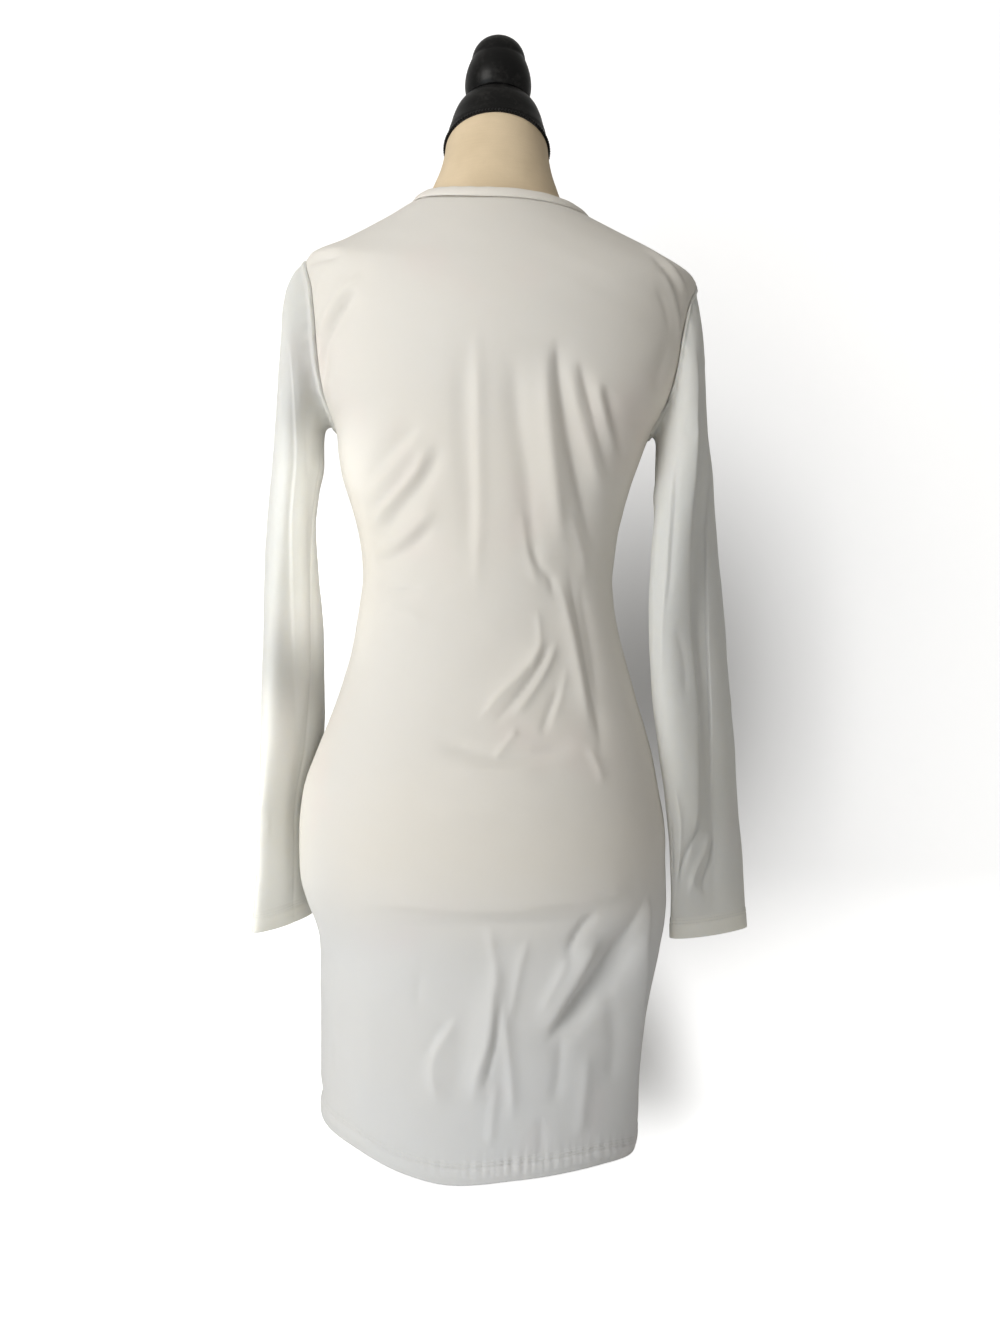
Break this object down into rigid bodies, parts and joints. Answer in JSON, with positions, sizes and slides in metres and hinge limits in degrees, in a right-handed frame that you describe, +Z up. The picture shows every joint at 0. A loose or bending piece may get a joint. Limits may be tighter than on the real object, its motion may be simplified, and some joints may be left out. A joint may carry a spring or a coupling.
{
  "type": "bodycon dress on a limbless dress form",
  "caption": "Long-sleeved bodycon mini dress with a narrow crew neckband, worn by a limbless dress form with a turned cap and knob on a hidden pole and round base.",
  "frame": {"origin": "middle of the stand's flat underside, on the floor", "axes": "+Z up, +X to the wearer's right, +Y to the wearer's front"},
  "size_m": [0.4424, 0.238, 0.991],
  "materials": {
    "jersey": "thin off-white jersey with a soft sheen",
    "linen": "cream linen stretched over the form",
    "black_wood": "black semi-gloss lacquer on turned wood",
    "black_steel": "satin black paint"
  },
  "bodies": {
    "root": {"dress_back": "jersey", "dress_front": "jersey", "sleeve_left": "jersey", "sleeve_right": "jersey", "neckband": "jersey", "form_torso": "linen", "form_cap": "black_wood", "form_finial": "black_wood", "stand_pole": "black_steel", "stand_base": "black_steel"}
  },
  "joints": []
}
